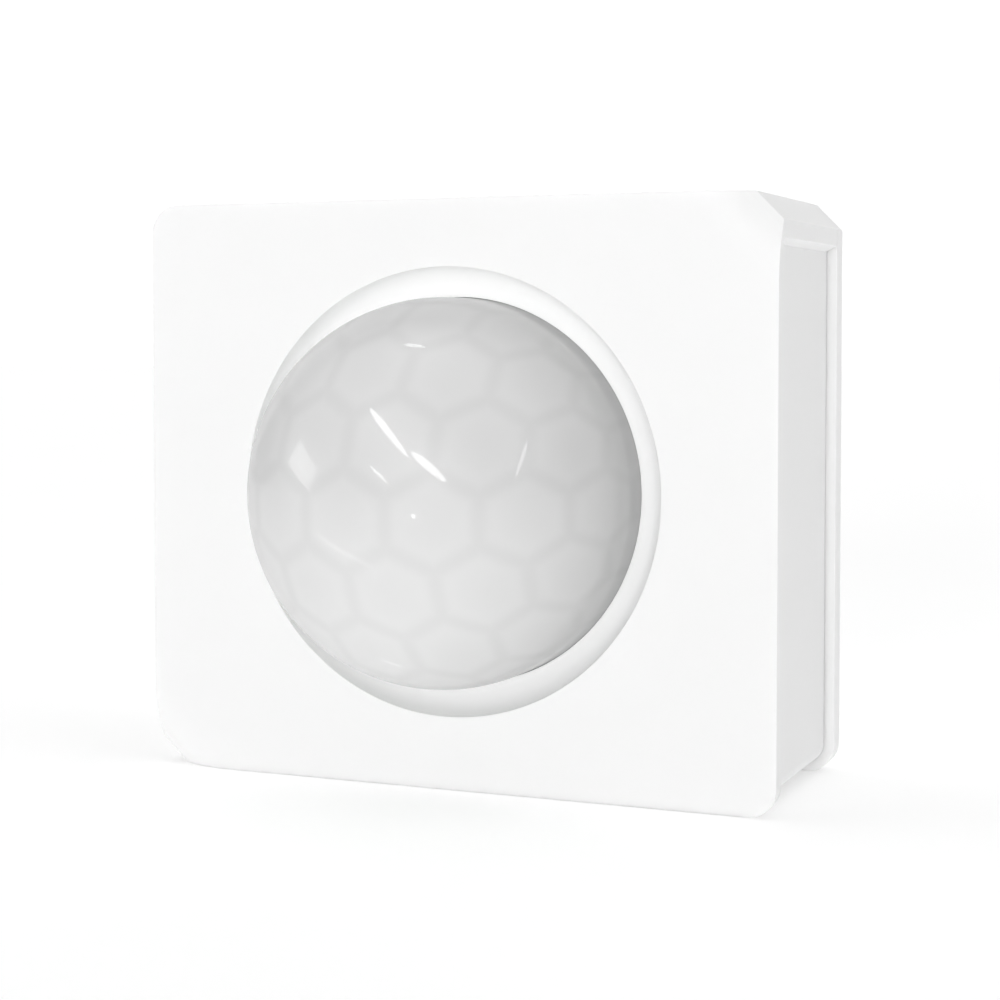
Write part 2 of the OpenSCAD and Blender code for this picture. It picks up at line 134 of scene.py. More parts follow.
def make_world():
    """A white studio lit softly from above and behind, seen as plain white."""
    world = bpy.data.worlds.new("studio")
    world.use_nodes = True
    tree = world.node_tree
    tree.nodes.clear()
    add = tree.nodes.new
    link = tree.links.new
    ray = add("ShaderNodeTexCoord").outputs["Generated"]

    def maths(operation, a, b):
        node = add("ShaderNodeMath")
        node.operation = operation
        for value, socket in zip((a, b), node.inputs):
            if isinstance(value, float):
                socket.default_value = value
            else:
                link(value, socket)
        return node.outputs[0]

    def soft_light(direction, strength):
        facing = add("ShaderNodeVectorMath")
        facing.operation = "DOT_PRODUCT"
        facing.inputs[1].default_value = Vector(direction).normalized()
        link(ray, facing.inputs[0])
        lobe = maths("POWER", maths("MAXIMUM", facing.outputs["Value"], 0.0), SOFT_POWER)
        return maths("MULTIPLY", lobe, strength)

    total = 0.0
    for direction, strength in SOFT_LIGHTS:
        total = maths("ADD", soft_light(direction, strength), total)
    lit = add("ShaderNodeBackground")
    lit.inputs["Color"].default_value = (1, 1, 1, 1)
    link(total, lit.inputs["Strength"])
    seen = add("ShaderNodeBackground")
    seen.inputs["Color"].default_value = (1, 1, 1, 1)
    seen.inputs["Strength"].default_value = SEEN_WHITE
    mix = add("ShaderNodeMixShader")
    link(add("ShaderNodeLightPath").outputs["Is Camera Ray"], mix.inputs["Fac"])
    link(lit.outputs[0], mix.inputs[1])
    link(seen.outputs[0], mix.inputs[2])
    link(mix.outputs[0], add("ShaderNodeOutputWorld").inputs["Surface"])
    bpy.context.scene.world = world


# The two big lamps that light the front: the way to each, its strength and how wide it looks in degrees
BIG_LAMPS = (
    ("front_lamp", (0.0, -1.0, 0.05), 1.36, 20),
    ("side_lamp", (0.38, -0.92, 0.05), 0.64, 20),
)


def make_lamps():
    """Puts up the two big lamps. The glossy lens doesn't mirror them."""
    for name, way, strength, spread in BIG_LAMPS:
        data = bpy.data.lights.new(name, "SUN")
        data.energy = strength
        data.angle = math.radians(spread)
        lamp = bpy.data.objects.new(name, data)
        lamp.rotation_euler = (-Vector(way)).to_track_quat("-Z", "Y").to_euler()
        lamp.visible_glossy = False
        bpy.context.scene.collection.objects.link(lamp)


# Small bright panels of the studio that the dome mirrors: name, shape, middle, one end, width and strength.
# Their lengths are in millimetres.
PANELS = (
    ("strip_high", "ELLIPSE", (-58, -262, 184), (-126, -192, 224), 19, 1.0),
    ("strip_front", "ELLIPSE", (79, -302, 101), (132, -295, 58), 25, 1.0),
    ("window_left", "RECTANGLE", (-276, -143, 59), (-289, -88, 81), 60, 0.3),
    ("strip_top", "ELLIPSE", (-73, 0, 300), (-96, 6, 292), 14, 0.6),
    ("strip_low", "ELLIPSE", (-70, -313, 72), (-98, -299, 93), 9, 0.8),
    ("strip_right", "ELLIPSE", (277, -113, 107), (269, -78, 147), 11, 0.6),
    ("spot_low", "ELLIPSE", (16, -129, -16), (18.6, -129, -16), 5, 1.2),
    ("strip_floor", "ELLIPSE", (-16, -50, -16.5), (-30, -57, -16.5), 1.3, 0.2),
    ("strip_base", "ELLIPSE", (-3.8, -22.5, -17), (-5.1, -23.2, -17), 0.35, 0.3),
)
PANEL_GLOW = 14.0               # radiance of a panel of strength 1


def make_panels():
    """Puts up the small panels, which only show as highlights on glossy parts."""
    for name, shape, middle, end, width, strength in PANELS:
        middle = Vector(middle) * MM
        half = Vector(end) * MM - middle
        data = bpy.data.lights.new(name, "AREA")
        data.shape = shape
        data.size = 2 * half.length
        data.size_y = width * MM
        data.energy = PANEL_GLOW * strength * math.pi * data.size * data.size_y
        panel = bpy.data.objects.new(name, data)
        back = (middle - Vector(LENS_CENTRE)).normalized()
        along = (half - back * half.dot(back)).normalized()
        turn = Matrix((along, back.cross(along), back)).transposed()
        panel.matrix_world = Matrix.Translation(middle) @ turn.to_4x4()
        panel.visible_camera = False
        panel.visible_diffuse = False
        bpy.context.scene.collection.objects.link(panel)


# ---- Materials ----

SCATTER_DEPTH = 0.35 * MM       # how far light spreads inside the white plastic
COAT_ROUGHNESS = 0.03


class Graph:
    """One procedural material, with short calls for the nodes that it is made of."""

    def __init__(self, name):
        self.material = bpy.data.materials.new(name)
        self.material.use_nodes = True
        self.tree = self.material.node_tree
        self.tree.nodes.clear()
        self.output = self.tree.nodes.new("ShaderNodeOutputMaterial")

    def feed(self, value, socket):
        """Links a socket to an input, or sets the input to a plain value."""
        if isinstance(value, bpy.types.NodeSocket):
            self.tree.links.new(value, socket)
        elif isinstance(value, tuple) and len(value) == 3 and socket.type == "RGBA":
            socket.default_value = (*value, 1)
        else:
            socket.default_value = value

    def place(self):
        """Where a point is in the row frame."""
        return self.tree.nodes.new("ShaderNodeTexCoord").outputs["Object"]

    def arm(self, centre):
        """The direction from a centre to a point, of length 1."""
        return self.vector("NORMALIZE", self.vector("SUBTRACT", self.place(), centre))

    def maths(self, operation, a, b=0.0):
        node = self.tree.nodes.new("ShaderNodeMath")
        node.operation = operation
        self.feed(a, node.inputs[0])
        self.feed(b, node.inputs[1])
        return node.outputs[0]

    def vector(self, operation, a, b=(0, 0, 0)):
        node = self.tree.nodes.new("ShaderNodeVectorMath")
        node.operation = operation
        self.feed(a, node.inputs[0])
        self.feed(b, node.inputs[1])
        return node.outputs["Value" if operation == "DOT_PRODUCT" else "Vector"]

    def noise(self, where, scale, detail):
        """Noise whose scale is in cycles per metre."""
        node = self.tree.nodes.new("ShaderNodeTexNoise")
        self.feed(where, node.inputs["Vector"])
        self.feed(scale, node.inputs["Scale"])
        self.feed(detail, node.inputs["Detail"])
        return node.outputs["Fac"]

    def ramp(self, value, stops):
        """A colour from stops of (position, colour)."""
        node = self.tree.nodes.new("ShaderNodeValToRGB")
        elements = node.color_ramp.elements
        while len(elements) < len(stops):
            elements.new(0.5)
        for element, (position, colour) in zip(elements, stops):
            element.position = position
            element.color = (*colour, 1)
        self.feed(value, node.inputs["Fac"])
        return node.outputs["Color"]

    def level(self, value, from_low, from_high, to_low, to_high):
        """Moves a value from one range to another, and keeps it inside the second."""
        node = self.tree.nodes.new("ShaderNodeMapRange")
        self.feed(value, node.inputs["Value"])
        node.inputs["From Min"].default_value = from_low
        node.inputs["From Max"].default_value = from_high
        node.inputs["To Min"].default_value = to_low
        node.inputs["To Max"].default_value = to_high
        return node.outputs["Result"]

    def mix(self, factor, a, b):
        """A colour between two colours."""
        node = self.tree.nodes.new("ShaderNodeMix")
        node.data_type = "RGBA"
        self.feed(factor, node.inputs["Factor"])
        self.feed(a, node.inputs["A"])
        self.feed(b, node.inputs["B"])
        return node.outputs["Result"]

    def bump(self, height, distance):
        """Raises a surface by a height from 0 to 1, where 1 is this distance."""
        node = self.tree.nodes.new("ShaderNodeBump")
        self.feed(height, node.inputs["Height"])
        node.inputs["Distance"].default_value = distance
        return node.outputs["Normal"]

    def plastic(self, colour, roughness, normal=None, specular=0.5, metallic=0.0, coat=0.0, scatter=0.0):
        """Finishes the material with its shader, which serves for metal too."""
        shader = self.tree.nodes.new("ShaderNodeBsdfPrincipled")
        self.feed(colour, shader.inputs["Base Color"])
        self.feed(roughness, shader.inputs["Roughness"])
        self.feed(metallic, shader.inputs["Metallic"])
        shader.inputs["Specular IOR Level"].default_value = specular
        shader.inputs["Coat Weight"].default_value = coat
        shader.inputs["Coat Roughness"].default_value = COAT_ROUGHNESS
        shader.inputs["Subsurface Weight"].default_value = scatter
        shader.inputs["Subsurface Radius"].default_value = (1, 1, 1)
        shader.inputs["Subsurface Scale"].default_value = SCATTER_DEPTH
        if normal is not None:
            self.feed(normal, shader.inputs["Normal"])
        self.tree.links.new(shader.outputs[0], self.output.inputs["Surface"])
        return shader


def grey(value, warmth=0.0):
    """A grey, or a slightly warm one."""
    return (value + warmth, value, value - warmth)


CASE_SCATTER = 0.8              # share of the light that enters the white plastic


def case_plastic():
    """Smooth white moulded plastic, with a faint satin grain and flow marks."""
    graph = Graph("case_plastic")
    flow = graph.noise(graph.place(), scale=60, detail=2)
    grain = graph.noise(graph.place(), scale=2600, detail=2)
    colour = graph.ramp(flow, [(0.3, grey(0.934)), (0.7, grey(0.942))])
    rough = graph.level(flow, 0.3, 0.7, 0.40, 0.50)
    graph.plastic(colour, rough, graph.bump(grain, 0.002 * MM), scatter=CASE_SCATTER)
    return graph.material


SPECKLE = 0.03                  # how much a moulded colour varies
BRUSHED = (1, 1, 12)            # squeezes a metal's grain along Z, so that it becomes lines across Z
TARNISH = 0.82                  # how dark a metal's stains are


def moulded(name, colour, rough):
    """Moulded plastic of one colour, with flow marks and a fine grain."""
    graph = Graph(name)
    flow = graph.noise(graph.place(), scale=110, detail=3)
    grain = graph.noise(graph.place(), scale=2200, detail=2)
    low = tuple(c * (1 - SPECKLE) for c in colour)
    high = tuple(min(1.0, c * (1 + SPECKLE)) for c in colour)
    tint = graph.ramp(flow, [(0.3, low), (0.7, high)])
    roughness = graph.level(flow, 0.3, 0.7, rough - 0.05, rough + 0.05)
    graph.plastic(tint, roughness, graph.bump(grain, 0.004 * MM))
    return graph.material


def metal(name, colour, rough):
    """Bare metal with fine drawing lines and a little tarnish."""
    graph = Graph(name)
    stretched = graph.vector("MULTIPLY", graph.place(), BRUSHED)
    lines = graph.noise(stretched, scale=900, detail=3)
    stain = graph.noise(graph.place(), scale=180, detail=4)
    dark = tuple(c * TARNISH for c in colour)
    tint = graph.ramp(stain, [(0.3, dark), (0.65, colour)])
    roughness = graph.level(lines, 0.3, 0.7, rough - 0.08, rough + 0.1)
    graph.plastic(tint, roughness, graph.bump(lines, 0.004 * MM), metallic=1.0)
    return graph.material


TRACK_BLOCK = 1.6 * MM          # squares in which the board's tracks keep one direction
TRACK_PITCH = 1.3 * MM


def board_laminate():
    """Green solder mask over copper: raised lighter tracks that change direction from block to block."""
    graph = Graph("board")
    place = graph.place()
    blocks = graph.noise(graph.vector("SNAP", place, (TRACK_BLOCK,) * 3), scale=900, detail=0)
    across = graph.maths("MULTIPLY", graph.vector("DOT_PRODUCT", place, (1, 0, 0)), 1 / TRACK_PITCH)
    up = graph.maths("MULTIPLY", graph.vector("DOT_PRODUCT", place, (0, 0, 1)), 1 / TRACK_PITCH)
    upright = graph.maths("GREATER_THAN", blocks, 0.5)
    lying = graph.maths("SUBTRACT", 1.0, upright)
    run = graph.maths("ADD", graph.maths("MULTIPLY", across, upright), graph.maths("MULTIPLY", up, lying))
    line = graph.maths("PINGPONG", run, 0.5)
    track = graph.level(line, 0.16, 0.22, 1.0, 0.0)
    weave = graph.noise(place, scale=1500, detail=2)
    mask = graph.ramp(weave, [(0.3, (0.012, 0.12, 0.045)), (0.7, (0.02, 0.16, 0.06))])
    colour = graph.mix(track, mask, (0.04, 0.27, 0.10))
    graph.plastic(colour, 0.3, graph.bump(track, 0.03 * MM), coat=0.3)
    return graph.material


LENS_CENTRE = (0.0, -17.33 * MM, 0.2 * MM)
CELL_TURN = -4.29               # where the middle cell looks: degrees to the right of straight ahead
CELL_RISE = -3.67               # and above the horizontal
CELL_ROLL = -0.86               # how far the rows of cells tip up to the right
CELL_PITCH = 24.70              # angle between neighbouring cells
CELL_SPREAD = 0.0388            # how fast the cells grow towards the rim


def cell_axes():
    """The middle cell's direction, and the directions right and up from it."""
    a = math.radians(CELL_TURN)
    b = math.radians(CELL_RISE)
    out = Vector((math.sin(a) * math.cos(b), -math.cos(a) * math.cos(b), math.sin(b)))
    right = Vector((math.cos(a), math.sin(a), 0))
    up = right.cross(out)
    tip = Matrix.Rotation(math.radians(CELL_ROLL), 3, out)
    return out, tip @ right, tip @ up


NEARLY_ONE = 0.99999            # largest cosine, as the honeycomb's formulas divide by 0 at the pole itself
ROW = math.sqrt(3)              # height of two rows of cells, in cell pitches


def cell_border(graph):
    """How far a point is from its nearest cell border, in cell pitches: up to 0.5, in a cell's middle."""
    maths = graph.maths
    out, right, up = (tuple(axis) for axis in cell_axes())
    arm = graph.arm(LENS_CENTRE)
    u = graph.vector("DOT_PRODUCT", arm, right)
    v = graph.vector("DOT_PRODUCT", arm, up)
    angle = maths("ARCCOSINE", maths("MINIMUM", graph.vector("DOT_PRODUCT", arm, out), NEARLY_ONE))
    squared = maths("MULTIPLY", angle, angle)
    spread = maths("SUBTRACT", 1.0, maths("MULTIPLY", squared, CELL_SPREAD))
    length = maths("SQRT", maths("ADD", maths("MULTIPLY", u, u), maths("MULTIPLY", v, v)))
    reach = maths("DIVIDE", maths("MULTIPLY", angle, spread), length)
    scale = maths("DIVIDE", reach, math.radians(CELL_PITCH))
    across = maths("MULTIPLY", u, scale)
    along = maths("MULTIPLY", v, scale)

    def from_middle(place, shift, period):
        """Distance from the nearest of a row of middles that stand a period apart."""
        moved = maths("ADD", place, (0.5 + shift) * period)
        return maths("ABSOLUTE", maths("SUBTRACT", maths("FLOORED_MODULO", moved, period), period / 2))

    def inside(shift):
        """Distance from the border of the cells centred on one of the two grids that make the honeycomb."""
        x = from_middle(across, shift, 1.0)
        y = from_middle(along, shift, ROW)
        slant = maths("ADD", maths("MULTIPLY", x, 0.5), maths("MULTIPLY", y, ROW / 2))
        return maths("SUBTRACT", 0.5, maths("MAXIMUM", x, slant))

    return maths("MAXIMUM", inside(0.0), inside(0.5))


# Distance from a cell border, in cell pitches, and how much lighter or darker the lens looks there
BORDER_TONES = ((0.0, -2.2), (0.04, -1.7), (0.12, 1.2), (0.17, 1.8), (0.3, 0.9), (0.5, 0.2))
LENS_TONE = 0.715
LENS_CONTRAST = 0.014           # what a step of 1 in BORDER_TONES is worth
LENS_COAT = 0.35
LENS_RIM_PAINTED_SHADE = 0.36           # painted shade: how much darker the lens is painted towards its rim, where the case's face shades it
LENS_RIM_SHADE_POWER = 1.5            # how suddenly the painted shade darkens it towards the rim


def lens_plastic():
    """Milky lens plastic with a glossy skin, and shade painted into it towards its rim. The borders of its
    cells show through it as soft grey lines.
    """
    graph = Graph("lens_plastic")
    border = cell_border(graph)
    tone = graph.ramp(border, [(p, grey(LENS_TONE * (1 + LENS_CONTRAST * t))) for p, t in BORDER_TONES])
    # Painted shade: the lens colour darkens towards the rim, where the case's face shades the dome
    front = graph.vector("DOT_PRODUCT", graph.arm(LENS_CENTRE), (0, -1, 0))
    sideways = graph.maths("MAXIMUM", graph.maths("SUBTRACT", 1.0, front), 0.0)
    shade = graph.maths("MULTIPLY", graph.maths("POWER", sideways, LENS_RIM_SHADE_POWER), LENS_RIM_PAINTED_SHADE)
    colour = graph.mix(shade, tone, (0, 0, 0))
    haze = graph.noise(graph.place(), scale=220, detail=3)
    colour = graph.mix(graph.level(haze, 0.3, 0.7, 0.0, 0.05), colour, grey(LENS_TONE))
    grain = graph.noise(graph.place(), scale=700, detail=1)
    graph.plastic(colour, 0.4, graph.bump(grain, 0.001 * MM), coat=LENS_COAT)
    return graph.material


MATERIALS = {
    "case_plastic": case_plastic(),
    "lens_plastic": lens_plastic(),
    "inner_plastic": moulded("inner_plastic", grey(0.82, 0.004), 0.5),
    "holder_plastic": moulded("holder_plastic", grey(0.05), 0.55),
    "seal_rubber": moulded("seal_rubber", grey(0.06), 0.8),
    "screw_steel": metal("screw_steel", grey(0.62), 0.3),
    "can_steel": metal("can_steel", grey(0.7), 0.25),
    "cell_steel": metal("cell_steel", grey(0.74), 0.28),
    "filter": moulded("filter", grey(0.12), 0.2),
    "ceramic": moulded("ceramic", (0.62, 0.52, 0.40), 0.45),
    "board": board_laminate(),
    "gold": metal("gold", (0.90, 0.70, 0.32), 0.25),
    "chip": moulded("chip", grey(0.025), 0.5),
    "led": moulded("led", (0.85, 0.82, 0.60), 0.15),
}


# ---- Shapes ----

# Distances in millimetres; a depth is measured from the front face back towards the wall
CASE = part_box("front_shell")
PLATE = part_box("wall_plate")
CASE_W = (CASE[1][0] - CASE[0][0]) / MM
CASE_H = (CASE[1][2] - CASE[0][2]) / MM
FRONT_Y = CASE[0][1] / MM
RIM_D = CASE[1][1] / MM - FRONT_Y
WALL_D = PLATE[1][1] / MM - FRONT_Y
PLATE_T = 1.6
PLATE_FRONT = WALL_D - PLATE_T

CORNER_R = 2.0                  # upper left and lower right corners of the outline
CHAMFER = 1.85                  # leg of the other two
CORNER_STEPS = 16
ROLL_R = 4.3                    # radius of the front's roll along each chamfer
ROLL_REACH = 3.0                # how far in from the chamfer the roll starts
ROLL_STEPS = 24
FLANGE_T = 1.2                  # full-width front flange
WALL_INSET = 0.73               # how far the walls stand in from it
WALL_T = 1.3
FRONT_T = 2.4
TAB_REACH = 3.0                 # corner tabs: how far their outer faces run from the corner
TAB_SLOPE = 0.4
CAVITY_R = 0.8

LENS_Z = 0.2
LENS_R = 13.15
LENS_T = 0.6
LENS_LIFT = 0.33                # how far the dome's centre stands in front of the front face
LENS_FLANGE_R = 15.0
LENS_FLANGE_FRONT = 2.7
LENS_FLANGE_REAR = 3.3
LENS_HOLE_R = 13.2
COVE_R = 2.02                   # hollow ring round the lens
TURN_STEPS = 256                # facets round the large, middling and small round parts
BUTTON_STEPS = 96
ROD_STEPS = 64
DOT_STEPS = 32

PAST = 0.5                      # how far a cutter reaches past what it cuts
CLEARANCE = 0.1                 # between parts that lie side by side


def to_metres(x, z, depth):
    """The place in the row frame of a point given in millimetres."""
    return Vector((x, FRONT_Y + depth, z)) * MM


def new_piece(name, mesh):
    """An object at the origin that shows this mesh."""
    piece = bpy.data.objects.new(name, mesh)
    bpy.context.scene.collection.objects.link(piece)
    return piece


def join_rings(shape, first, second):
    """Closes the solid between two rings of as many points."""
    shape.faces.new(first)
    shape.faces.new(reversed(second))
    for i in range(len(first)):
        j = (i + 1) % len(first)
        shape.faces.new((first[i], second[i], second[j], first[j]))


def prism(name, points, front, rear):
    """A solid with this outline of (x, z) points, from one depth to a greater one."""
    shape = bmesh.new()
    rings = [[shape.verts.new(to_metres(x, z, depth)) for x, z in points] for depth in (front, rear)]
    join_rings(shape, *rings)
    return finish_mesh(name, shape)


def turned(name, profile, centre=(0.0, LENS_Z), steps=TURN_STEPS):
    """A closed profile of (radius, depth) points turned about a line along the depth."""
    shape = bmesh.new()
    x, z = centre
    middle = {i: shape.verts.new(to_metres(x, z, d)) for i, (r, d) in enumerate(profile) if r == 0}
    rings = []
    for step in range(steps):
        a = 2 * math.pi * step / steps
        ring = []
        for i, (r, d) in enumerate(profile):
            place = to_metres(x + r * math.cos(a), z + r * math.sin(a), d)
            ring.append(middle[i] if r == 0 else shape.verts.new(place))
        rings.append(ring)
    for ring, following in zip(rings, rings[1:] + rings[:1]):
        for i in range(len(profile)):
            j = (i + 1) % len(profile)
            corners = dict.fromkeys((ring[i], ring[j], following[j], following[i]))
            if len(corners) > 2:
                shape.faces.new(corners)
    return finish_mesh(name, shape)


def finish_mesh(name, shape):
    """Turns a closed bmesh into a piece."""
    bmesh.ops.recalc_face_normals(shape, faces=shape.faces)
    for face in shape.faces:
        face.smooth = True
    mesh = bpy.data.meshes.new(name)
    shape.to_mesh(mesh)
    shape.free()
    return new_piece(name, mesh)


def apply_modifiers(piece):
    """Makes what a piece's modifiers do to it its own mesh."""
    mesh = bpy.data.meshes.new_from_object(piece.evaluated_get(bpy.context.evaluated_depsgraph_get()))
    piece.modifiers.clear()
    piece.data = mesh
    mesh.name = piece.name


def combine(piece, operation, tools):
    """Adds other solids to a piece, or cuts them out of it, and removes them."""
    for tool in tools:
        step = piece.modifiers.new(tool.name, "BOOLEAN")
        step.operation = operation
        step.solver = "EXACT"
        step.object = tool
        apply_modifiers(piece)
        bpy.data.objects.remove(tool)
        weld(piece.data)


WELD = 0.0005 * MM              # points closer than this are one point


def weld(mesh):
    """Joins the points that a cut leaves all but on top of each other."""
    shape = bmesh.new()
    shape.from_mesh(mesh)
    bmesh.ops.remove_doubles(shape, verts=shape.verts, dist=WELD)
    bmesh.ops.dissolve_degenerate(shape, edges=shape.edges, dist=WELD)
    shape.to_mesh(mesh)
    shape.free()


def rod(centre, radius, front, rear, steps=ROD_STEPS):
    """A solid rod along the depth."""
    return turned("rod", [(0, front), (radius, front), (radius, rear), (0, rear)], centre, steps)


def block(low_x, high_x, low_z, high_z, front, rear):
    """A solid block."""
    return prism("block", [(low_x, low_z), (high_x, low_z), (high_x, high_z), (low_x, high_z)], front, rear)


def arc(radius, start, end, steps):
    """Points round part of a circle about the origin, with angles in degrees."""
    turns = [math.radians(start + (end - start) * i / steps) for i in range(steps + 1)]
    return [(radius * math.cos(a), radius * math.sin(a)) for a in turns]


def outline(inset=0.0):
    """The case's outline, moved in by an inset: two corners round and two chamfered."""
    half_w = CASE_W / 2 - inset
    half_h = CASE_H / 2 - inset
    radius = CORNER_R - inset
    right = [(half_w - radius + x, radius - half_h + z) for x, z in arc(radius, -90, 0, CORNER_STEPS)]
    right += [(half_w, half_h - CHAMFER), (half_w - CHAMFER, half_h)]
    return right + [(-x, -z) for x, z in right]


def cavity_outline(inset=0.0):
    """The inside of the case, moved in by a clearance."""
    half_w = CASE_W / 2 - WALL_INSET - WALL_T - CAVITY_R - inset
    half_h = CASE_H / 2 - WALL_INSET - WALL_T - CAVITY_R - inset
    points = []
    for start, side_x, side_z in ((-90, 1, -1), (0, 1, 1), (90, -1, 1), (180, -1, -1)):
        corner = arc(CAVITY_R, start, start + 90, CORNER_STEPS // 2)
        points += [(side_x * half_w + u, side_z * half_h + w) for u, w in corner]
    return points


def ring_sector(angle, sweep, outer, inner, front, rear):
    """Part of a ring round the battery's axis, centred on an angle in degrees."""
    start = angle - sweep / 2
    steps = round(sweep / SECTOR_STEP)
    points = arc(outer, start, start + sweep, steps) + arc(inner, start + sweep, start, steps)
    return prism("sector", [(CELL_X + x, z) for x, z in points], front, rear)


def corner_tab(side):
    """The solid tab that carries a chamfered corner back to the wall plate."""
    foot = TAB_REACH + TAB_SLOPE
    corner = [
        (0, -TAB_REACH), (0, -CHAMFER), (-CHAMFER, 0), (-TAB_REACH, 0),
        (-foot, -WALL_INSET), (-foot, -foot), (-WALL_INSET, -foot),
    ]
    points = [(side * (x + CASE_W / 2), side * (z + CASE_H / 2)) for x, z in corner]
    return prism("tab", points, FLANGE_T / 2, RIM_D)


ROLL_LENGTH = 16
ROLL_MARGIN = 2                 # how far the cutter reaches past the case
ROLL_OVERRUN = 0.1              # how far the curve runs on past the chamfer


def roll_cutter(side):
    """What lies in front of the roll along a chamfered corner."""
    middle = Vector((CASE_W - CHAMFER, CASE_H - CHAMFER)) / 2
    across = Vector((1, 1)).normalized()
    along = Vector((-1, 1)).normalized()
    sweep = math.degrees(math.asin((ROLL_REACH + ROLL_OVERRUN) / ROLL_R))
    curve = [(x - ROLL_REACH, ROLL_R - z) for x, z in arc(ROLL_R, 90, 90 - sweep, ROLL_STEPS)]
    curve += [(ROLL_MARGIN, curve[-1][1]), (ROLL_MARGIN, -ROLL_MARGIN), (-ROLL_REACH, -ROLL_MARGIN)]
    shape = bmesh.new()
    rings = []
    for end in (-ROLL_LENGTH / 2, ROLL_LENGTH / 2):
        places = [(side * (middle + across * reach + along * end), depth) for reach, depth in curve]
        rings.append([shape.verts.new(to_metres(flat.x, flat.y, depth)) for flat, depth in places])
    join_rings(shape, *rings)
    return finish_mesh("roll", shape)


POST_X = 15.2                   # posts that carry the board and the tray
POST_Z = 14.2
POST_PLACES = [(x, z) for x in (-POST_X, POST_X) for z in (-POST_Z, POST_Z)]
POST_FOOT_R = 3.2               # up to the board
POST_R = 2.2                    # from there to the tray
POST_HOLE_R = 0.8
LUG_PLACE_R = 17.7              # short posts that the lens's clamp ring is screwed to
LUG_AT = [math.radians(side + a) for side in (0, 180) for a in (-25, 25)]
LUG_PLACES = [(LUG_PLACE_R * math.cos(a), LENS_Z + LUG_PLACE_R * math.sin(a)) for a in LUG_AT]
LUG_R = 1.7
LUG_HOLE_R = 0.6
LUG_HOLE_DEPTH = 1.0            # how far its hole runs on into the front
BOARD_FRONT = 6.5
BOARD_REAR = 7.5
TRAY_FRONT = 12.1
TRAY_REAR = 13.6
HOOK_GAP = 0.3                  # between a hook and the notch in the case that it passes
HOOK_FOOT = (16.5, 18.8)        # inner and outer side of the foot of each hook
HOOK_LEG = (16.5, 17.4)
HOOK_FRONT = 13.75
HOOK_FOOT_REAR = 14.4
HOOK_LENGTH = 7.0
HOOK_TOPS = (12.0, -6.0)
SCREW_HOLE_X = 12.0
SCREW_HOLE_R = 1.75
SINK_T = 0.9


def front_shell():
    """The case front: flange, recessed walls, corner tabs, lens hole with its cove, and the posts inside."""
    shell = prism("case_front", outline(), 0, FLANGE_T)
    walls = prism("walls", outline(WALL_INSET), FLANGE_T / 2, RIM_D)
    combine(shell, "UNION", [walls, corner_tab(1), corner_tab(-1)])
    notches = []
    for side in (-1, 1):
        low, high = sorted((side * (HOOK_FOOT[0] - HOOK_GAP), side * (HOOK_FOOT[1] + HOOK_GAP)))
        bottom = -CASE_H / 2 + WALL_INSET
        notches.append(block(low, high, bottom - PAST, bottom + WALL_T + PAST, TRAY_REAR, RIM_D + PAST))
    cavity = prism("cavity", cavity_outline(), FRONT_T, RIM_D + PAST)
    combine(shell, "DIFFERENCE", [cavity, roll_cutter(1), roll_cutter(-1)] + notches)
    posts = [rod(place, POST_FOOT_R, FRONT_T - PAST, BOARD_FRONT) for place in POST_PLACES]
    posts += [rod(place, POST_R, BOARD_FRONT - PAST, TRAY_FRONT) for place in POST_PLACES]
    posts += [rod(place, LUG_R, FRONT_T - PAST, LENS_FLANGE_REAR) for place in LUG_PLACES]
    combine(shell, "UNION", posts)
    rear = FRONT_T + PAST
    cove = [(LENS_HOLE_R + r, d) for r, d in arc(COVE_R, 0, 90, CORNER_STEPS)]
    profile = [(0, -PAST), (LENS_HOLE_R + COVE_R, -PAST)] + cove + [(LENS_HOLE_R, rear), (0, rear)]
    holes = [turned("cove", profile)]
    holes += [rod(place, POST_HOLE_R, BOARD_REAR, TRAY_FRONT + PAST) for place in POST_PLACES]
    lug_hole_front = FRONT_T - LUG_HOLE_DEPTH
    holes += [rod(place, LUG_HOLE_R, lug_hole_front, LENS_FLANGE_REAR + PAST) for place in LUG_PLACES]
    combine(shell, "DIFFERENCE", holes)
    return shell


def wall_plate():
    """The plate on the wall: two countersunk screw holes, and four hooks that hold the sensor's rails."""
    plate = prism("wall_back", outline(), PLATE_FRONT, WALL_D)
    hooks = []
    for side in (-1, 1):
        foot = sorted(side * x for x in HOOK_FOOT)
        leg = sorted(side * x for x in HOOK_LEG)
        for top in HOOK_TOPS:
            hooks.append(block(*foot, top - HOOK_LENGTH, top, HOOK_FRONT, HOOK_FOOT_REAR))
            hooks.append(block(*leg, top - HOOK_LENGTH, top, HOOK_FRONT, PLATE_FRONT + PAST))
    combine(plate, "UNION", hooks)
    sink = [(0, PLATE_FRONT - PAST), (SCREW_HOLE_R + SINK_T + PAST, PLATE_FRONT - PAST)]
    sink += [(SCREW_HOLE_R, PLATE_FRONT + SINK_T), (SCREW_HOLE_R, WALL_D + PAST), (0, WALL_D + PAST)]
    holes = [turned("hole", sink, (x, 0), BUTTON_STEPS) for x in (-SCREW_HOLE_X, SCREW_HOLE_X)]
    combine(plate, "DIFFERENCE", holes)
    return plate


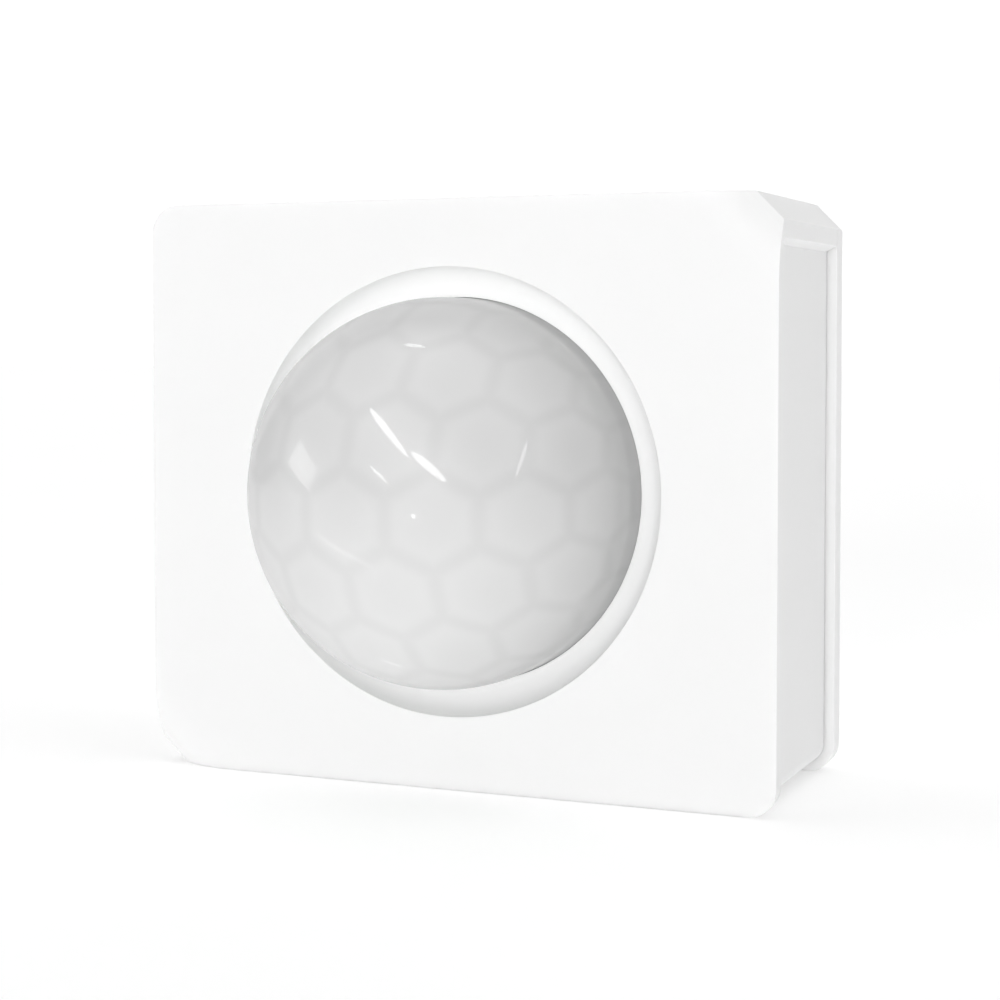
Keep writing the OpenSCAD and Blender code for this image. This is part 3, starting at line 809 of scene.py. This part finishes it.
CELL_X = 2.2                    # the battery's axis
DOOR_R = 12.87
DOOR_FRONT = 13.2
DOOR_REAR = 14.9
DOOR_GAP = 0.08
BOSS_R = 14.0
LUG_HEIGHT = 0.45               # height of the groove that the door's lugs turn in
BAYONET_R = DOOR_R + DOOR_GAP + LUG_HEIGHT
BAYONET_REAR = 13.9
LUG_SWEEP = 24                  # degrees round that each lug takes, and how far the door turns
LUG_TURN = 30
LUG_PLAY = 1                    # degrees by which an entry is wider than its lug
LUG_ANGLES = (0, 120, 240)
SECTOR_STEP = 1.25              # degrees between the facets of the bayonet's parts
SEAL = (12.2, 14.1, 14.6)       # the seal groove's inner radius, front and rear
COIN_SLOT = (13.0, 1.8, 0.9)    # length, width and depth
MARK_SIZE = 1.8                 # the pointer sunk into the door, and how deep the marks are
MARK_INSET = 1.0
MARK_DEPTH = 0.2
DOT_R = 0.55                    # sunk dots on the tray, where the pointer stands locked and open
DOT_PLACE_R = 15.2
SWITCH_X = -14.4
BUTTON_Z = 6.0
BUTTON_R = 1.9
PLUNGER_Z = -6.0
PLUNGER_R = 1.2
SHAFT_GAP = 0.08
STEM_REAR = 10.3
COLLAR_FRONT = 11.4
COLLAR_REAR = 12.0
TRAY_HOLE_R = 1.0               # screw holes of the tray, and the wells that take the screws' heads
WELL_R = 1.9
WELL_DEPTH = 0.8
RAIL_STEM = (19.1, 19.9)        # inner and outer side of each rail's stem, and of the flange on it
RAIL_FLANGE = (17.7, 19.9)
RAIL_FRONT = 14.5
RAIL_REAR = 15.2
RAIL_TOP = 13.3
RAIL_STOP = 1.2


def rail(side):
    """One of the two rails that hang on the hooks: a stem, a flange and a stop."""
    bottom = -CASE_H / 2 + WALL_INSET + WALL_T + 2 * CLEARANCE
    stem = sorted(side * x for x in RAIL_STEM)
    flange = sorted(side * x for x in RAIL_FLANGE)
    return [
        block(*stem, bottom, RAIL_TOP, TRAY_REAR - PAST, RAIL_REAR),
        block(*flange, bottom, RAIL_TOP, RAIL_FRONT, RAIL_REAR),
        block(*flange, RAIL_TOP - RAIL_STOP, RAIL_TOP, TRAY_REAR - PAST, RAIL_REAR),
    ]


def rear_tray():
    """The tray that closes the case, with the battery door's boss, screw wells, rails and control holes."""
    tray = prism("tray", cavity_outline(1.5 * CLEARANCE), TRAY_FRONT, TRAY_REAR)
    boss = rod((CELL_X, 0), BOSS_R, TRAY_REAR - PAST, DOOR_REAR, TURN_STEPS)
    combine(tray, "UNION", [boss] + rail(1) + rail(-1))
    hole_r = DOOR_R + DOOR_GAP
    entry = LUG_SWEEP + LUG_PLAY
    holes = [rod((CELL_X, 0), hole_r, TRAY_FRONT - PAST, DOOR_REAR + PAST, TURN_STEPS)]
    groove = (BAYONET_R, hole_r - PAST)
    for a in LUG_ANGLES:
        turn = ring_sector(a - LUG_TURN / 2, entry + LUG_TURN, *groove, DOOR_FRONT - CLEARANCE, BAYONET_REAR)
        opening = ring_sector(a - LUG_TURN, entry, *groove, DOOR_FRONT, DOOR_REAR + PAST)
        holes += [turn, opening]
    for place in POST_PLACES:
        holes.append(rod(place, TRAY_HOLE_R, TRAY_FRONT - PAST, TRAY_REAR + PAST))
        holes.append(rod(place, WELL_R, TRAY_REAR - WELL_DEPTH, TRAY_REAR + PAST))
    for a in (90, 90 - LUG_TURN):
        x = CELL_X + DOT_PLACE_R * math.cos(math.radians(a))
        z = DOT_PLACE_R * math.sin(math.radians(a))
        holes.append(rod((x, z), DOT_R, TRAY_REAR - MARK_DEPTH, TRAY_REAR + PAST, DOT_STEPS))
    for z, radius in ((BUTTON_Z, BUTTON_R), (PLUNGER_Z, PLUNGER_R)):
        holes.append(rod((SWITCH_X, z), radius + SHAFT_GAP, TRAY_FRONT - PAST, TRAY_REAR + PAST))
    combine(tray, "DIFFERENCE", holes)
    return tray


def battery_door():
    """A round door with three bayonet lugs, a groove for its seal and a coin slot."""
    inner_r, seal_front, seal_rear = SEAL
    profile = [
        (0, DOOR_FRONT), (DOOR_R, DOOR_FRONT), (DOOR_R, seal_front), (inner_r, seal_front),
        (inner_r, seal_rear), (DOOR_R, seal_rear), (DOOR_R, DOOR_REAR), (0, DOOR_REAR),
    ]
    door = turned("door", profile, (CELL_X, 0))
    lug_r = BAYONET_R - CLEARANCE
    lugs = [
        ring_sector(a, LUG_SWEEP, lug_r, DOOR_R - PAST, DOOR_FRONT, BAYONET_REAR - CLEARANCE)
        for a in LUG_ANGLES
    ]
    combine(door, "UNION", lugs)
    length, width, depth = COIN_SLOT
    tip = DOOR_R - MARK_INSET
    pointer = [(-MARK_SIZE / 2, tip - MARK_SIZE), (MARK_SIZE / 2, tip - MARK_SIZE), (0, tip)]
    mark = prism("mark", [(CELL_X + x, z) for x, z in pointer], DOOR_REAR - MARK_DEPTH, DOOR_REAR + PAST)
    slot = block(
        CELL_X - length / 2, CELL_X + length / 2, -width / 2, width / 2,
        DOOR_REAR - depth, DOOR_REAR + PAST,
    )
    combine(door, "DIFFERENCE", [slot, mark])
    return door


FOOT_R = 1.4                    # foot of the button, over its switch
COLLAR_WIDTH = (0.7, 1.0)       # how far the collars of the button and the plunger stand out
CROWN = (0.3, 0.4)              # how high the ends of the two are crowned
CROWN_STEPS = 15


def crowned(radius, rear, crown):
    """The end of a button's profile: its rim and a slight crown up to this depth."""
    turns = [math.pi / 2 * i / CROWN_STEPS for i in range(CROWN_STEPS)]
    return [(radius * math.cos(a), rear - crown + crown * math.sin(a)) for a in turns] + [(0, rear)]


def shaft(name, z, foot_r, radius, collar, top, crown):
    """A button or plunger: a foot on its switch, a collar that keeps it in, and a crowned end."""
    collar_r = radius + collar
    profile = [(0, STEM_REAR), (foot_r, STEM_REAR), (foot_r, COLLAR_FRONT), (collar_r, COLLAR_FRONT)]
    profile += [(collar_r, COLLAR_REAR), (radius, COLLAR_REAR)] + crowned(radius, top, crown)
    return turned(name, profile, (SWITCH_X, z), BUTTON_STEPS)


def pair_button():
    """The set-up button, flush with the tray."""
    return shaft("button", BUTTON_Z, FOOT_R, BUTTON_R, COLLAR_WIDTH[0], TRAY_REAR - CLEARANCE, CROWN[0])


def tamper_plunger():
    """The plunger that the wall plate holds down while the sensor is in place."""
    top = PLATE_FRONT - CLEARANCE / 2
    return shaft("plunger", PLUNGER_Z, PLUNGER_R, PLUNGER_R, COLLAR_WIDTH[1], top, CROWN[1])


DOME_RINGS = 88                 # rings of points from the dome's tip to its widest
FACET_SINK = 0.14               # how much thinner the lens is along the borders between its cells
FACET_FRONT = 0.5               # the facets stop this far in front of the dome's centre


def border_distance(ways):
    """For unit directions from the dome's centre, how far each is from its nearest cell border: 0 to 0.5."""
    out, right, up = (np.array(axis) for axis in cell_axes())
    angle = np.arccos(np.clip(ways @ out, -1, NEARLY_ONE))
    u = ways @ right
    v = ways @ up
    reach = angle * (1 - CELL_SPREAD * angle ** 2) / np.hypot(u, v) / math.radians(CELL_PITCH)
    nearest = []
    for shift in (0.0, 0.5):
        x = np.abs((u * reach + 0.5 + shift) % 1 - 0.5)
        y = np.abs((v * reach + (0.5 + shift) * ROW) % ROW - ROW / 2)
        nearest.append(0.5 - np.maximum(x, x / 2 + y * ROW / 2))
    return np.maximum(*nearest)


def dome_arc(radius, centre_depth):
    """(Radius, depth) points from the tip of a dome to its widest ring."""
    turns = [math.pi / 2 * i / DOME_RINGS for i in range(DOME_RINGS + 1)]
    return [(radius * math.sin(a), centre_depth - radius * math.cos(a)) for a in turns]


def dome_lens():
    """The milky dome: smooth outside, and a lens facet on the inside of each honeycomb cell."""
    centre_depth = -LENS_LIFT
    flange = [
        (LENS_R, LENS_FLANGE_FRONT), (LENS_FLANGE_R, LENS_FLANGE_FRONT),
        (LENS_FLANGE_R, LENS_FLANGE_REAR), (LENS_R - LENS_T, LENS_FLANGE_REAR),
    ]
    outer = dome_arc(LENS_R, centre_depth)
    inner = dome_arc(LENS_R - LENS_T, centre_depth)
    lens = turned("dome", outer + flange + inner[::-1])
    centre = np.array(to_metres(0, LENS_Z, centre_depth))
    points = np.empty(len(lens.data.vertices) * 3)
    lens.data.vertices.foreach_get("co", points)
    arms = points.reshape(-1, 3) - centre
    reach = np.linalg.norm(arms, axis=1)
    inside = (reach < (LENS_R - LENS_T / 2) * MM) & (arms[:, 1] < -FACET_FRONT * MM)
    ways = arms[inside] / reach[inside, None]
    sink = FACET_SINK * MM * (1 - 2 * border_distance(ways)) ** 2
    arms[inside] += ways * sink[:, None]
    lens.data.vertices.foreach_set("co", (arms + centre).ravel())
    lens.data.update()
    return lens


# ---- Pieces ----

EDGE = 0.06 * MM                # width of the moulded edges
EDGE_WELD = 0.002 * MM          # points closer than this are one point, so that the edges bevel cleanly
SHARP = 35                      # degrees between faces at an edge that gets a radius


def round_edges(piece):
    """Gives a part's sharp edges a small moulded radius."""
    joined = piece.modifiers.new("weld", "WELD")
    joined.merge_threshold = EDGE_WELD
    bevel = piece.modifiers.new("bevel", "BEVEL")
    bevel.limit_method = "ANGLE"
    bevel.angle_limit = math.radians(SHARP)
    bevel.width = EDGE
    bevel.segments = 2
    bevel.use_clamp_overlap = True
    flat = piece.modifiers.new("normals", "WEIGHTED_NORMAL")
    flat.weight = 100
    flat.keep_sharp = False


BODY_NODES = {
    "sensor_body": ("front_shell", "dome_lens", "rear_tray"),
    "wall_mount": ("wall_plate",),
    "battery_door": ("battery_door",),
    "pair_button": ("pair_button",),
    "tamper_plunger": ("tamper_plunger",),
}


def show(piece, node_name, slot_name):
    """Puts a finished piece in place of a CAD node, on the node's own body."""
    piece.data.materials.clear()
    piece.data.materials.append(MATERIALS[slot_name])
    body = next(name for name, nodes in BODY_NODES.items() if node_name in nodes)
    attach(piece, body)
    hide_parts(node_name)
    return piece


for node_name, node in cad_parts.items():
    node.data.materials[0] = MATERIALS[SLOTS[node_name]]
    round_edges(node)

BUILT = (
    (front_shell, "case_plastic"),
    (wall_plate, "case_plastic"),
    (rear_tray, "inner_plastic"),
    (battery_door, "inner_plastic"),
    (pair_button, "inner_plastic"),
    (tamper_plunger, "inner_plastic"),
)
for build, slot in BUILT:
    round_edges(show(build(), build.__name__, slot))
lens = show(dome_lens(), "dome_lens", "lens_plastic")
# The milky lens lets light through, so it hardly shades the cove round it
lens.visible_shadow = False
lens.visible_diffuse = False


make_camera()
make_floor()
make_world()
make_lamps()
make_panels()
bpy.context.scene.view_settings.view_transform = "Standard"
